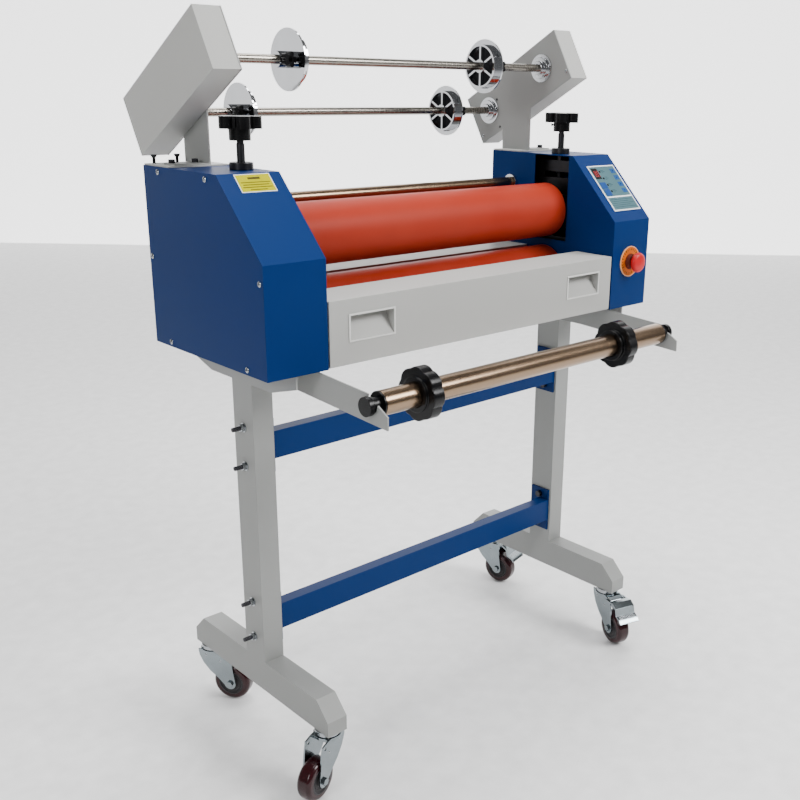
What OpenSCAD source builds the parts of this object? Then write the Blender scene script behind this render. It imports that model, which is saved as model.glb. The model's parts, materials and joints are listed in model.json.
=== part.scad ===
// Cold roll laminator on a caster stand: two side covers with their frames inside, a pair of
// rubber rollers between them, a feed tray, film supply shafts above and a take-up tube in front.
// X runs along the rollers, -Y is the operator's side, +Z is up, and the floor is Z = 0.

/* [Overall] */
// Height of the machine's underside above the floor
base_h = 750; // [740:1:800]
// Distance from the origin to the front of the covers, along Y
front_y = -147.5; // [-160:0.5:-120]

/* [Covers] */
// Inner face of each cover, from the middle
cover_in = 353; // [352:0.5:354]
// Outer face of each cover, from the middle
cover_out = 466.5; // [465:0.5:475]
// Depth of the covers from front to back
cover_d = 344.5; // [342:0.5:350]
// Height of the covers
cover_h = 298; // [296:1:300]
// Height at which the front begins to slope back
knee_z = 176.4; // [170:0.2:182]
// Distance back from the front face to the top of the slope
slope_y = 117.4; // [112:0.2:120]
// Thickness of the folded cover sheet
sheet = 2; // [1.5:0.5:2.5]

/* [Rollers] */
// Diameter over the rubber
roller_d = 109.4; // [106:0.2:109.4]
// Diameter of the steel core tube under the rubber
core_d = 88; // [80:1:92]
// Length of the rubber
roller_l = 690; // [680:1:692]
// Diameter of the roller shaft ends
shaft_d = 25; // [22:1:26]
// Distance from the covers' front to both roller axes
roller_y = 177; // [176:0.5:178]
// Height of the lower roller's axis above the covers' bottom
lower_z = 58; // [57.5:0.5:58.5]
// Gap between the rollers as they stand
nip_gap = 18.6; // [18:0.1:20]

/* [Pressure screws] */
// Distance of each screw from the middle
screw_x = 384; // [383:0.5:385]
// Diameter of the smooth screw stem
stem_d = 13; // [12:0.5:13]
// Diameter over the knob's lobes
knob_d = 70; // [60:1:74]

/* [Film supply] */
// Diameter of the two supply shafts
supply_d = 15; // [12:0.5:16]
// Length of the tilted arm boxes
box_l = 287; // [280:1:292]
// Height of the tilted arm boxes
box_w = 107; // [100:1:110]
// Tilt of the boxes, rising to the front
box_tilt = 29.5; // [28:0.5:31]
// Diameter of the core discs' flanges
disc_d = 101; // [98:1:110]
// Diameter of the core discs' rings
ring_d = 81; // [78:1:88]

/* [Take-up] */
// Diameter of the take-up tube
tube_d = 40; // [38:0.5:40]
// Diameter over the lobes of its two core wheels
core_wheel_d = 88; // [84:1:90]

/* [Stand] */
// Thickness of the leg and foot tubes, along X
leg_t = 40; // [40:0.5:42]
// Depth of the legs and height of the feet
leg_w = 60; // [58:1:60]
// Wall of the stand tubes
wall = 2.5; // [2:0.5:3]
// Distance of the legs' and casters' centre lines from the middle
leg_x = 386; // [386:0.5:387]

/* [Casters] */
// Wheel diameter
caster_d = 75; // [72:1:76]
// Wheel width
wheel_w = 30; // [26:1:32]
// Distance from the swivel axis to the wheel axis
trail = 40; // [36:1:42]

/* [Hidden] */
$fn = 64;

// running clearance of a shaft in its bore, and plain clearance round a passing bolt
fit = 0.06;
gap = 0.3;

// covers
lean = atan(slope_y / (cover_h - knee_z));
panel_t = 1.5;
window_w = 93;
window_z = 124;
hole_d = 44;
top_t = 2.5;
plate_y = 262;
top_z = cover_h + top_t;

// fasteners, as places in Y and Z or along X
screw_at = [[296, 289.6], [149, 288.7], [335, 148.8], [9.5, 148.3], [290.8, 8.5], [55, 8.5]];
box_screw_at = [[172.6, 461.7], [407.6, 324], [368.2, 402.3], [356.5, 345.6]];
post_bolt_x = [402, 444];
post_bolt_y = 290;
lid_screw_x = [409, 451];
lid_screw_y = 336;

// controls and mains inlet in the right cover
estop_at = [408.5, 93.6];
power_x = 430;
power_z = 60;

// side frames
frame_in = 376;
frame_t = 16;
block_w = 71.4;
block_low = 150;
block_h = 100;
upper_z = lower_z + roller_d + nip_gap;
bearing_d = 52;
bearing_t = 15;
bridge_z = 262;
frame_top = 285;

// pressure screw, in heights above the covers' bottom
thread_d = 12;
thread_low = 222;
seat_d = 38;
seat_t = 9;
hub_z = 343;
knob_z = 361;
knob_top = 380;

// gears between the motor and the lower roller
gear_m = 2.5;
gear_n = 32;
pinion_n = 16;
gear_x = 398;
gear_t = 10;
pinion_angle = 30;
gear_span = gear_m * (gear_n + pinion_n) / 2;
pinion_y = roller_y + gear_span * cos(pinion_angle);
pinion_z = lower_z + gear_span * sin(pinion_angle);

// rear roller and bed
rear_y = 285;
rear_z = 234;
rear_d = 22;
axle_d = 10;
table_y = 234;
table_z = 106;

// arm boxes, posts and supply shafts
sheet_x = 385;
post_t = 2.5;
box_depth = 51;
box_at = [309.7, 424.6];
post_y = [268, 348];
shaft_front = [239.5, 467];
shaft_rear = [389.4, 379];
disc_depth = 15;
collar_l = 23;
stud_x = 15;
knob_stud = 6;
disc_x = [-247, 218, -253.5, 255];

// take-up
take_at = [-122, -27];
slot_w = 25.6;
neck_d = 25;
tube_half = 350;
arm_t = 3;
arm_x = 363;
wheel_x = [-277, 232];
scallop_d = 44;
wheel_t = 22;

// feed tray
tray_half = 349.5;
tray_d = 91;
tray_z = 108.5;
grip = [90, 40];
grip_x = 264;
grip_z = 41;
grip_d = 22;
lip = 3;
lip_t = 1.2;

// stand
leg_y = 175;
foot_top = -573;
foot_low = -633;
foot_y = [-44, 394];
foot_cut = 32;
beam_z = [-164, -495];
beam_h = 50;
beam_t = 25;
plate_h = 98;
bolt_off = 35;
bolt_d = 8;
caster_y = [-15, 365];

// casters: trail direction of each, front left, front right, back left, back right
axle_z = -base_h + caster_d / 2;
race_t = 8;
crown_z = -642;
crown_t = 5;
pin_d = 12;
fork_t = 3;
heading = [198, 253, 303, 284];
brake_at = [34, -652];

// --- helpers -------------------------------------------------------------------------------

// the machine's own frame: Y from the covers' front, Z from their bottom
module machine() translate([0, front_y, base_h]) children();

// right-hand geometry, or its mirror image on the left
module side(s) { if (s > 0) children(); else mirror([1, 0, 0]) children(); }

// a profile drawn in Y and Z, run along X
module run_x(x0, length) {
    translate([x0, 0, 0]) rotate([90, 0, 90]) linear_extrude(length) children();
}

// a round bar along X, at a place in Y and Z
module bar_x(x0, length, at, d) {
    translate([x0, at[0], at[1]]) rotate([0, 90, 0]) cylinder(d = d, h = length);
}

// outline of a cover, drawn in by t on every side
module cover_outline(t) {
    polygon([[t, t], [t, knee_z - t * tan(lean / 2)],
        [slope_y + t * tan((90 - lean) / 2), cover_h - t],
        [cover_d - t, cover_h - t], [cover_d - t, t]]);
}

// the plane of the sloping front: X across, Y up the slope, Z outwards
module on_slope() translate([0, 0, knee_z]) rotate([90 - lean, 0, 0]) children();

// a lobed outline: a round body with n round lobes
module lobed(d, lobe, n) {
    circle(d = d - lobe);
    for (i = [0:n - 1]) rotate(i * 360 / n) translate([(d - lobe) / 2, 0]) circle(d = lobe, $fn = 24);
}

// a toothed outline with straight flanks, a tooth on the first axis
module gear_outline(m, n) {
    step = 360 / n;
    root = m * n / 2 - 1.15 * m;
    tip = m * n / 2 + 0.9 * m;
    polygon([for (i = [0:n - 1], p = [[root, -0.31], [tip, -0.10], [tip, 0.10], [root, 0.31]])
        p[0] * [cos((i + p[1]) * step), sin((i + p[1]) * step)]]);
}

// a panel screw with its head outwards along X
module panel_screw(at) {
    bar_x(cover_out, 2.5, at, 9);
    bar_x(cover_out - 8, 8, at, 4.8);
}

// --- stand ---------------------------------------------------------------------------------

module stand(s) {
    color("lightgray") machine() side(s) {
        difference() {
            union() {
                translate([leg_x - leg_t / 2, leg_y - leg_w / 2, foot_top])
                    cube([leg_t, leg_w, -foot_top - arm_t]);
                run_x(leg_x - leg_t / 2, leg_t) foot_outline(0);
            }
            translate([leg_x - leg_t / 2 + wall, leg_y - leg_w / 2 + wall, foot_top])
                cube([leg_t - 2 * wall, leg_w - 2 * wall, -foot_top]);
            run_x(leg_x - leg_t / 2 + wall, leg_t - 2 * wall) foot_outline(wall);
            for (z = beam_z, b = [-1, 1])
                bar_x(leg_x - leg_t, 2 * leg_t, [leg_y, z + b * bolt_off], bolt_d + 0.5);
            for (y = caster_y) translate([leg_x, y, foot_low - 1])
                cylinder(d = pin_d + 0.5, h = wall + 2);
        }
    }
}

module foot_outline(t) {
    k = t * tan(22.5);
    polygon([[foot_y[0] + t, foot_low + t], [foot_y[0] + t, foot_top - foot_cut - k],
        [foot_y[0] + foot_cut + k, foot_top - t], [foot_y[1] - foot_cut - k, foot_top - t],
        [foot_y[1] - t, foot_top - foot_cut - k], [foot_y[1] - t, foot_low + t]]);
}

module beam(z) {
    half = leg_x - leg_t / 2;
    color("royalblue") machine() difference() {
        union() {
            translate([-half, leg_y - beam_t, z - beam_h / 2]) cube([2 * half, beam_t, beam_h]);
            for (s = [-1, 1]) side(s) translate([half - 4, leg_y - beam_t, z - plate_h / 2])
                cube([4, 2 * beam_t, plate_h]);
        }
        translate([-half + 4, leg_y - beam_t + wall, z - beam_h / 2 + wall])
            cube([2 * half - 8, beam_t - 2 * wall, beam_h - 2 * wall]);
        for (b = [-1, 1]) bar_x(-half - 1, 2 * half + 2, [leg_y, z + b * bolt_off], bolt_d + 0.5);
    }
}

// beam bolts with washers and nuts, panel screws, post bolts and box screws
module fasteners() {
    inner = leg_x - leg_t / 2 - 4;
    outer = leg_x + leg_t / 2;
    color("dimgray") machine() for (s = [-1, 1]) side(s) {
        for (z = beam_z, b = [-1, 1]) {
            at = [leg_y, z + b * bolt_off];
            translate([inner - 8, at[0], at[1]]) rotate([0, 90, 0]) cylinder(d = 13, h = 8, $fn = 6);
            bar_x(inner - 1, outer - inner + 24, at, bolt_d);
            bar_x(outer, 1.6, at, 17);
            translate([outer + 1.6, at[0], at[1]]) rotate([0, 90, 0])
                cylinder(d = 14, h = 6.5, $fn = 6);
        }
        for (at = screw_at) panel_screw(at);
        for (x = post_bolt_x) translate([x, post_bolt_y, 0]) {
            translate([0, 0, top_z + post_t]) cylinder(d = 11, h = 6);
            translate([0, 0, cover_h - 12]) cylinder(d = 7.6, h = 14 + top_t + post_t);
        }
        for (x = lid_screw_x) translate([x, lid_screw_y, 0]) {
            translate([0, 0, top_z + 9]) cylinder(d1 = 6, d2 = 10, h = 3);
            translate([0, 0, top_z + 12]) cylinder(d = 10, h = 2);
            translate([0, 0, cover_h - 12]) cylinder(d = 5.6, h = 22 + top_t);
        }
        for (at = box_screw_at) {
            bar_x(sheet_x - 2, 2, at, 6);
            bar_x(sheet_x - 1, 11, at, 3.4);
        }
    }
}
module saddle(s) {
    color("gainsboro") machine() side(s) {
        difference() {
            union() {
                run_x(arm_x, arm_t) arm_outline();
                run_x(leg_x + leg_t / 2, arm_t) polygon([[10, 0], [10, -25], [83, -46], [266, -46],
                    [335, -25], [335, 0]]);
                translate([arm_x, 10, -arm_t]) cube([leg_t + 2 * arm_t, 325, arm_t]);
            }
            bar_x(arm_x - 1, arm_t + 2, take_at, slot_w + 0.8);
            translate([arm_x - 1, take_at[0], take_at[1]]) rotate([21.7, 0, 0])
                translate([0, -slot_w / 2, 0]) cube([arm_t + 2, slot_w, 40]);
        }
    }
}

// inner wall of the saddle with the arm that carries the take-up tube
module arm_outline() {
    polygon([[335, 0], [335, -25], [266, -46], [83, -46], [-160, -58], [-160, -37],
        [-113, -10], [10, -4], [10, 0]]);
}

// --- covers and frames ---------------------------------------------------------------------

// bolt holes through a cover's top
module top_holes() {
    for (x = post_bolt_x) translate([x, post_bolt_y, cover_h - 10]) cylinder(d = 8, h = 20);
    for (x = lid_screw_x) translate([x, lid_screw_y, cover_h - 10]) cylinder(d = 6, h = 20);
}

module cover(s) {
    color("mediumblue") machine() side(s) difference() {
        union() {
            difference() {
                run_x(cover_in, cover_out - panel_t - cover_in) cover_outline(0);
                run_x(cover_in + sheet, cover_out) cover_outline(sheet);
            }
            difference() {
                run_x(cover_out - panel_t - sheet, sheet) cover_outline(sheet);
                run_x(cover_out - 10, 12) cover_outline(16);
            }
        }
        translate([cover_in - 1, roller_y - window_w / 2 - 4, window_z])
            cube([sheet + 2, window_w, cover_h - window_z - sheet]);
        bar_x(cover_in - 1, sheet + 2, [roller_y, lower_z], hole_d);
        bar_x(cover_in - 1, sheet + 2, [rear_y, rear_z], 20.2);
        for (at = screw_at) bar_x(cover_out - 10, 12, at, 5);
        translate([screw_x, roller_y, cover_h - 10]) cylinder(d = stem_d + 2, h = 20);
        top_holes();
        if (s > 0) {
            translate([estop_at[0], -1, estop_at[1]]) rotate([-90, 0, 0]) cylinder(d = 22.4, h = 5);
            translate([power_x - 14, cover_d - 6, power_z - 12]) cube([28.4, 12, 20.4]);
        }
    }
}

module panel(s) {
    color("slateblue") machine() side(s) difference() {
        run_x(cover_out - panel_t, panel_t) cover_outline(0);
        for (at = screw_at) bar_x(cover_out - 10, 12, at, 5);
    }
}

// frame plate: slot for the sliding block above, bore for the lower bearing below
module frame(s) {
    color("slategray") machine() side(s) difference() {
        run_x(frame_in, frame_t) polygon([[22, sheet], [22, 160], [120, 262], [120, frame_top],
            [322, frame_top], [322, sheet]]);
        translate([frame_in - 1, roller_y - block_w / 2 - gap, 128])
            cube([frame_t + 2, block_w + 2 * gap, bridge_z - 128]);
        bar_x(frame_in - 1, frame_t + 2, [roller_y, lower_z], bearing_d);
        translate([screw_x, roller_y, bridge_z - 1]) cylinder(d = stem_d + 1, h = 40);
    }
}

// light plates under the posts and the seats of the pressure screws
module top_plates() {
    color("whitesmoke") machine() for (s = [-1, 1]) side(s) {
        difference() {
            translate([cover_in + 1, plate_y, cover_h])
                cube([cover_out - cover_in - 2.5, cover_d - plate_y - 1.5, top_t]);
            top_holes();
        }
        difference() {
            translate([screw_x, roller_y, cover_h]) cylinder(d = seat_d, h = top_t + seat_t);
            translate([screw_x, roller_y, cover_h - 1]) cylinder(d = stem_d + 2 * fit, h = 20);
        }
    }
}

// one folded sheet: bottom, back wall and rear table
module base_plate() {
    color("gainsboro") machine() run_x(-cover_in + 0.5, 2 * cover_in - 1) {
        translate([5, 0]) square([335, sheet]);
        translate([338, 0]) square([sheet, table_z]);
        translate([table_y, table_z - sheet]) square([340 - table_y, sheet]);
        translate([table_y, 92]) square([sheet, table_z - 92]);
    }
}

// --- film supply ---------------------------------------------------------------------------

module box_outline(t) {
    translate(box_at) rotate(-box_tilt) square([box_l - 2 * t, box_w - 2 * t], center = true);
}

// one sheet: back of the box, post and the flange bolted to the cover top
module post(s) {
    color("lightgray") machine() side(s) {
        difference() {
            union() {
                run_x(sheet_x, post_t) {
                    box_outline(0);
                    translate([post_y[0], top_z]) square([post_y[1] - post_y[0], 90]);
                }
                translate([sheet_x, post_y[0], top_z]) cube([65, 36, post_t]);
            }
            for (at = [shaft_front, shaft_rear]) bar_x(sheet_x - 1, post_t + 2, at, 22.4);
            for (at = box_screw_at) bar_x(sheet_x - 1, post_t + 2, at, 3.6);
            for (x = post_bolt_x) translate([x, post_bolt_y, top_z - 1]) cylinder(d = 8, h = 5);
        }
    }
}

module arm_box(s) {
    inner = sheet_x + post_t;
    color("silver") machine() side(s) difference() {
        run_x(inner, box_depth - post_t) box_outline(0);
        run_x(inner - 1, box_depth - post_t - sheet + 1) box_outline(sheet);
    }
}

// chrome flanged bushings of the supply shafts, roller bearings, rear roller collars
module bushings() {
    color("silver") machine() for (s = [-1, 1]) side(s) {
        for (at = [shaft_front, shaft_rear]) difference() {
            union() {
                bar_x(sheet_x - 3, 3, at, 56);
                bar_x(sheet_x - 8, 6, at, 42);
                bar_x(sheet_x - 16, 9, at, 27);
                bar_x(sheet_x - 1, 9, at, 22);
            }
            bar_x(sheet_x - 20, 40, at, supply_d + 2 * fit);
        }
        difference() {
            bar_x(frame_in + 0.5, bearing_t, [roller_y, lower_z], bearing_d);
            bar_x(frame_in - 5, 30, [roller_y, lower_z], shaft_d + 2 * fit);
        }
        difference() {
            union() {
                bar_x(cover_in - 7, 7, [rear_y, rear_z], 34);
                bar_x(cover_in - 1, 5, [rear_y, rear_z], 20);
            }
            bar_x(cover_in - 10, 30, [rear_y, rear_z], axle_d + 2 * fit);
        }
    }
}

module supply_shaft(at) {
    color("darkgray") machine() {
        bar_x(-sheet_x - 19, 2 * sheet_x + 38, at, supply_d);
        for (s = [-1, 1]) side(s) bar_x(sheet_x + 9, 8, at, 30);
    }
}

// a core disc, its open spoked side facing +X, its flange face at X = 0
module core_disc() {
    rotate([0, 90, 0]) difference() {
        union() {
            cylinder(d = disc_d, h = 3);
            difference() {
                cylinder(d = ring_d, h = disc_depth);
                translate([0, 0, 3]) cylinder(d = ring_d - 7, h = disc_depth);
            }
            for (i = [0:5]) rotate(i * 60) translate([8, -2, 3])
                cube([ring_d / 2 - 10, 4, disc_depth - 4]);
            cylinder(d = 25, h = disc_depth + 1);
            translate([0, 0, -collar_l]) cylinder(d = 27, h = collar_l + 1);
        }
        translate([0, 0, -50]) cylinder(d = supply_d + 2 * fit, h = 100);
        translate([0, 0, -stud_x]) rotate([90, 0, 0])
            cylinder(d = knob_stud + 2 * fit, h = 30);
    }
}

// a thumb screw through the disc's collar, pointing to the operator
module thumb_knob() {
    translate([-stud_x, 0, 0]) rotate([90, 0, 0]) {
        translate([0, 0, 8]) cylinder(d = knob_stud, h = 12);
        translate([0, 0, 14.5]) linear_extrude(6) circle(d = 13);
        translate([0, 0, 20]) linear_extrude(11) lobed(26, 9, 5);
    }
}

module disc_place(i) {
    at = i < 2 ? shaft_front : shaft_rear;
    machine() translate([disc_x[i], at[0], at[1]]) side(disc_x[i] > 0 ? -1 : 1) children();
}

// --- controls ------------------------------------------------------------------------------

// membrane panel with its display window, lamps and key fields
module control_panel() {
    color("lightsteelblue") machine() on_slope() {
        translate([373, 25, 0]) cube([84.5, 115, 1.2]);
        translate([380, 108, 1]) cube([16, 23, 1]);
        for (s = [124, 107, 90, 74]) {
            translate([401.6, s, 1]) cylinder(d = 3.2, h = 0.8);
            translate([440, s - 4, 1]) cube([9, 8, 0.7]);
        }
        for (s = [63, 81]) translate([380, s, 1]) cube([17, 15, 0.7]);
    }
}

module estop_base() {
    color("gold") machine() translate([estop_at[0], 0, estop_at[1]]) rotate([90, 0, 0])
        difference() {
            union() {
                cylinder(d = 62, h = 2);
                cylinder(d = 32, h = 10);
                translate([0, 0, -20]) cylinder(d = 22, h = 21);
                translate([-15, -20, -48]) cube([30, 40, 30]);
            }
            translate([0, 0, -12]) cylinder(d = 12 + 2 * fit, h = 40);
        }
}

module estop_button() {
    color("red") machine() translate([estop_at[0], 0, estop_at[1]]) rotate([90, 0, 0]) {
        translate([0, 0, -5]) cylinder(d = 12, h = 24);
        rotate_extrude() polygon([[0, 16], [17, 16], [19, 17.5], [20, 20], [19.6, 24],
            [17, 27], [12, 28.8], [0, 29.4]]);
    }
}

// --- drive ---------------------------------------------------------------------------------

// worm gear motor hung on the right frame by a plate on four spacers
module gear_motor() {
    color("dimgray") machine() difference() {
        union() {
            for (at = [[24, -24], [24, 24], [-24, 24]])
                bar_x(frame_in + frame_t, 22, [pinion_y + at[0], pinion_z + at[1]], 10);
            translate([frame_in + frame_t + 20, pinion_y - 31, pinion_z - 31]) cube([5, 62, 62]);
            translate([frame_in + frame_t + 25, pinion_y - 28, pinion_z - 32]) cube([42, 56, 62]);
            translate([frame_in + frame_t + 44, pinion_y, pinion_z + 29]) cylinder(d = 54, h = 118);
        }
        bar_x(frame_in + frame_t, 40, [pinion_y, pinion_z], axle_d + 2 * fit);
    }
}

// power supply and roller drive in one small case, with the mains inlet in the back
module power_unit() {
    color("darkslategray") machine() {
        translate([power_x - 28, cover_d - 72, power_z - 46]) cube([56, 66, 92]);
        translate([power_x - 13.8, cover_d - 10, power_z - 11.8]) difference() {
            cube([28, 10, 20]);
            translate([3, 4, 3]) cube([22, 10, 14]);
        }
        translate([power_x - 25, cover_d, power_z - 14]) difference() {
            cube([50, 2.5, 24]);
            translate([14.2, -1, 5.2]) cube([22, 5, 14]);
        }
    }
}

module motor_pinion() {
    color("goldenrod") machine() {
        translate([gear_x, pinion_y, pinion_z]) rotate([90, 0, 90]) linear_extrude(gear_t)
            rotate(180 + pinion_angle + 180 / pinion_n) gear_outline(gear_m, pinion_n);
        bar_x(gear_x - 4, 34, [pinion_y, pinion_z], axle_d);
    }
}

// hollow steel core with its through shaft; the lower one also carries the driven gear
module roller_core(z, out_right) {
    half = roller_l / 2;
    machine() translate([0, roller_y, z]) rotate([0, 90, 0]) {
        translate([0, 0, -398]) cylinder(d = shaft_d, h = 398 + out_right);
        difference() {
            translate([0, 0, -half]) cylinder(d = core_d, h = roller_l);
            translate([0, 0, -half + 18]) cylinder(d = core_d - 16, h = roller_l - 36);
        }
    }
}

module lower_core() {
    color("silver") {
        roller_core(lower_z, 409);
        machine() translate([gear_x, roller_y, lower_z]) rotate([90, 0, 90])
            linear_extrude(gear_t) rotate(pinion_angle) gear_outline(gear_m, gear_n);
    }
}

module rubber(z) {
    color("tomato") machine() translate([-roller_l / 2, roller_y, z]) rotate([0, 90, 0])
        difference() {
            cylinder(d = roller_d, h = roller_l, $fn = 128);
            translate([0, 0, -1]) cylinder(d = core_d, h = roller_l + 2);
        }
}

// sliding blocks that carry the upper roller and are moved by the screws
module bearing_blocks() {
    color("darkgray") machine() for (s = [-1, 1]) side(s) difference() {
        union() {
            translate([frame_in - 0.5, roller_y - block_w / 2, block_low])
                cube([frame_t + 1, block_w, block_h]);
            for (x = [frame_in - 4.5, frame_in + frame_t + 0.4])
                translate([x, roller_y - 44, upper_z - 30]) cube([4.1, 88, 60]);
        }
        bar_x(frame_in - 20, 60, [roller_y, upper_z], shaft_d + 2 * fit);
        translate([screw_x, roller_y, 208]) cylinder(d = thread_d + 2 * fit, h = 60);
    }
}

module handwheel(s) {
    color("black") machine() side(s) translate([screw_x, roller_y, 0]) {
        translate([0, 0, thread_low]) cylinder(d = thread_d, h = bridge_z + 2 - thread_low);
        translate([0, 0, bridge_z + 2]) cylinder(d = stem_d, h = hub_z - bridge_z - 6);
        translate([0, 0, hub_z - 5]) cylinder(d = 11, h = 6);
        translate([0, 0, hub_z]) cylinder(d = 34, h = knob_z - hub_z + 1);
        translate([0, 0, knob_z]) linear_extrude(knob_top - knob_z) lobed(knob_d, 24, 5);
        translate([0, 0, knob_z - 5]) rotate([0, 90, 136]) {
            cylinder(d = 3, h = 22);
            translate([0, 0, 19]) cylinder(d = 5, h = 3);
        }
    }
}

module rear_roller() {
    color("silver") machine() {
        bar_x(-cover_in + 7.5, 2 * cover_in - 15, [rear_y, rear_z], rear_d);
        bar_x(-cover_in - 3, 2 * cover_in + 6, [rear_y, rear_z], axle_d);
    }
}

// --- take-up -------------------------------------------------------------------------------

module takeup_plugs() {
    color("black") machine() for (s = [-1, 1]) side(s) {
        bar_x(tube_half - 22, 23, take_at, tube_d - 4 - 2 * fit);
        bar_x(tube_half + 0.5, 3, take_at, tube_d);
        bar_x(tube_half + 3, 19, take_at, neck_d);
        bar_x(arm_x + arm_t + 4, 9, take_at, 31);
    }
}

module takeup_tube() {
    color("rosybrown") machine() translate([-tube_half, take_at[0], take_at[1]])
        rotate([0, 90, 0]) difference() {
            cylinder(d = tube_d, h = 2 * tube_half);
            translate([0, 0, -1]) cylinder(d = tube_d - 4, h = 2 * tube_half + 2);
        }
}

module takeup_wheel(x) {
    color("black") machine() translate([x, take_at[0], take_at[1]]) side(x > 0 ? -1 : 1)
        rotate([0, 90, 0]) difference() {
            union() {
                linear_extrude(wheel_t) lobed(core_wheel_d, scallop_d, 8);
                translate([0, 0, -4]) cylinder(d = 58, h = wheel_t + 12);
            }
            translate([0, 0, -20]) cylinder(d = tube_d + 2 * fit, h = 60);
        }
}

// --- feed tray -----------------------------------------------------------------------------

module feed_tray() {
    color("gainsboro") machine() difference() {
        union() {
            run_x(-tray_half, 2 * tray_half) {
                translate([0, sheet + gap]) square([sheet, tray_z - sheet - gap]);
                translate([0, tray_z - sheet]) square([tray_d, sheet]);
                translate([tray_d - sheet, 84]) square([sheet, tray_z - 84]);
                translate([0, sheet + gap]) square([30, sheet]);
            }
            for (s = [-1, 1]) side(s) {
                translate([tray_half - sheet, 0, sheet + gap]) cube([sheet, 30, tray_z - sheet - gap]);
                run_x(grip_x - grip[0] / 2 - 2, grip[0] + 4) polygon([[0, grip_z - 2],
                    [grip_d, grip_z + grip[1] - 12], [grip_d, grip_z + grip[1] + 2],
                    [0, grip_z + grip[1] + 2]]);
                run_x(grip_x - grip[0] / 2 - lip, grip[0] + 2 * lip)
                    translate([-lip_t, grip_z - lip]) square([lip_t + 1, grip[1] + 2 * lip]);
            }
        }
        for (s = [-1, 1]) side(s) run_x(grip_x - grip[0] / 2, grip[0]) polygon([[-2, grip_z],
            [0, grip_z], [grip_d - 2, grip_z + grip[1] - 9], [grip_d - 2, grip_z + grip[1]],
            [-2, grip_z + grip[1]]]);
    }
}

// --- casters -------------------------------------------------------------------------------

module caster_place(i) {
    machine() translate([i % 2 == 0 ? -leg_x : leg_x, caster_y[i < 2 ? 0 : 1], 0])
        children();
}

// threaded stem with its nut, the fixed race and the swivel pin
module caster_stems() {
    color("silver") for (i = [0:3]) caster_place(i) {
        translate([0, 0, foot_low]) cylinder(d = pin_d, h = 18);
        translate([0, 0, foot_low + wall]) cylinder(d = 20, h = 9, $fn = 6);
        translate([0, 0, foot_low - race_t]) cylinder(d = 46, h = race_t);
        translate([0, 0, crown_z - crown_t - 4]) cylinder(d = pin_d, h = 6 + crown_t);
        translate([0, 0, crown_z - crown_t - 4]) cylinder(d = 20, h = 3);
    }
}

// crown, two tapered cheeks and the wheel's axle bolt, trailing along +X
module fork(i) {
    color("lightgray") caster_place(i) rotate(heading[i]) {
        difference() {
            union() {
                translate([0, 0, crown_z - crown_t]) cylinder(d = 50, h = crown_t);
                translate([-20, -wheel_w / 2 - fork_t - 1.5, crown_z - crown_t])
                    cube([44, wheel_w + 2 * fork_t + 3, crown_t]);
            }
            translate([0, 0, crown_z - 10]) cylinder(d = pin_d + 2 * fit, h = 20);
        }
        for (s = [-1, 1]) translate([0, s * (wheel_w / 2 + 1.5) - (s < 0 ? fork_t : 0), 0])
            translate([0, fork_t, 0]) rotate([90, 0, 0]) linear_extrude(fork_t) {
                difference() {
                    polygon([[-24, crown_z], [24, crown_z], [41, crown_z - 4],
                        [44, crown_z - 18], [trail + 11.5, axle_z + 3], [trail - 11, axle_z - 4],
                        [16, axle_z + 10], [-1, crown_z - 46], [-14, crown_z - 30],
                        [-22, crown_z - 13]]);
                    translate(brake_at) circle(d = 6 + 2 * fit);
                }
                translate([trail, axle_z]) circle(d = 24);
            }
        translate([trail, wheel_w / 2 + fork_t + 6, axle_z]) rotate([90, 0, 0])
            cylinder(d = 8, h = wheel_w + 2 * fork_t + 10);
        for (y = [-wheel_w / 2 - fork_t - 6, wheel_w / 2 + fork_t + 1.5])
            translate([trail, y + 4.5, axle_z]) rotate([90, 0, 0]) cylinder(d = 14, h = 4.5, $fn = 6);
    }
}

module caster_wheel(i) {
    r = caster_d / 2;
    w = wheel_w / 2;
    color("maroon") caster_place(i) rotate(heading[i]) translate([trail, 0, axle_z])
        rotate([90, 0, 0]) rotate_extrude(convexity = 4) polygon([[4 + fit, -w], [10, -w],
            [12, -w + 3], [22, -w + 3], [25, -w], [r - 5, -w + 1], [r - 1, -w + 4], [r, -w + 8],
            [r, w - 8], [r - 1, w - 4], [r - 5, w - 1], [25, w], [22, w - 3], [12, w - 3],
            [10, w], [4 + fit, w]]);
}

// brake pedal on a cross pin behind the crown: tread plate and two side lugs
module brake(i) {
    color("silver") caster_place(i) rotate(heading[i]) translate([brake_at[0], 0, brake_at[1]]) {
        translate([0, 21, 0]) rotate([90, 0, 0]) cylinder(d = 6, h = 42);
        for (s = [-1, 1]) translate([-5, s * 22.5 - 1.5, -5]) cube([20, 3, 12]);
        translate([0, 24, 0]) rotate([90, 0, 0]) linear_extrude(48) polygon([[11, 4], [11, 7],
            [24, 9], [37, 1], [41, -14], [52, -19], [58, -27], [55, -29], [49.5, -22],
            [38, -16.5], [34, -1.5], [23, 6]]);
    }
}
// --- drawing -------------------------------------------------------------------------------

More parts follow.
